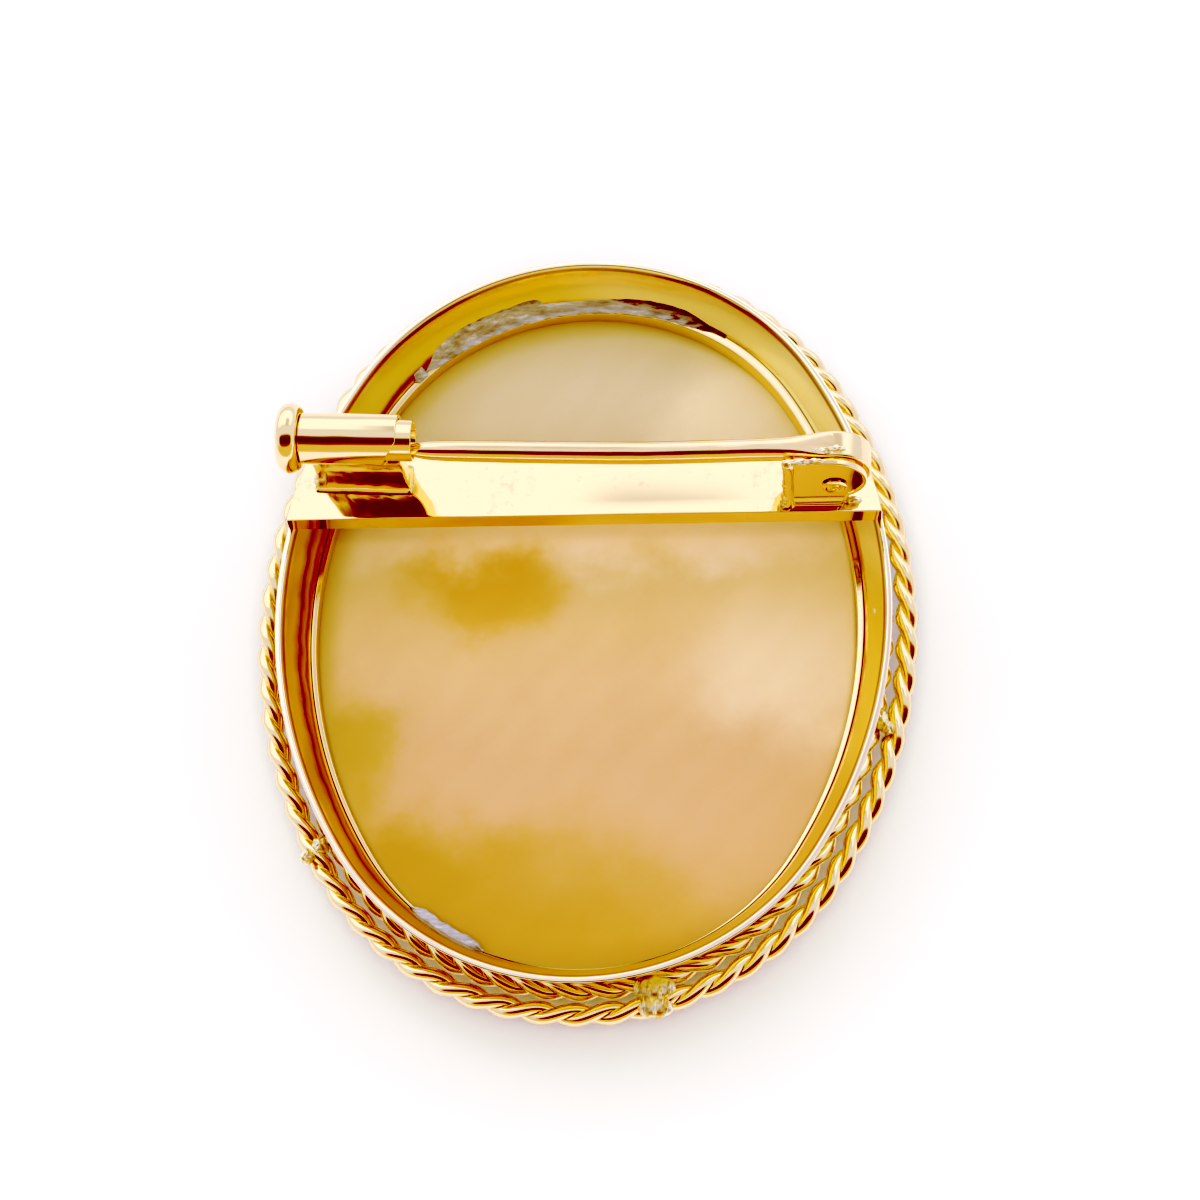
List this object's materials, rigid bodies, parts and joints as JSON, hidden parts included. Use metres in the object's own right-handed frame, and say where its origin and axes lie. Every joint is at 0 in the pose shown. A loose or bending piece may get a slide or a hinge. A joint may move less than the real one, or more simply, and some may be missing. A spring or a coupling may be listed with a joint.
{
  "type": "cameo brooch",
  "caption": "Oval cameo brooch in a deep polished cup with a double twisted-wire border, a hinged pin and a barrel safety catch on a cross plate.",
  "frame": {"origin": "on the table under the middle of the oval, as the brooch lies on its carved front", "axes": "+X runs along the pin from the catch to the hinge, +Y up the oval, +Z from the carved front towards the pin at the back"},
  "size_m": [0.0394, 0.0494, 0.0148],
  "materials": {
    "gold": "polished",
    "shell": "satin"
  },
  "bodies": {
    "brooch": {"frame": "gold", "retaining_ring": "gold", "cameo": "shell", "rope_outer_a": "gold", "rope_outer_b": "gold", "rope_inner_a": "gold", "rope_inner_b": "gold", "hinge_rivet": "gold"},
    "catch": {"catch_slider": "gold"},
    "pin": {"pin_stem": "gold"}
  },
  "joints": [
    {"name": "pin_hinge", "type": "hinge", "parent": "brooch", "child": "pin", "pos_m": [0.0148, 0.00705, 0.01015], "axis": [0, 1, 0], "range_deg": [0, 115]},
    {"name": "catch_slide", "type": "slide", "parent": "brooch", "child": "catch", "axis": [-0.999, 0.0436, 0], "range_m": [0, 0.003]}
  ]
}
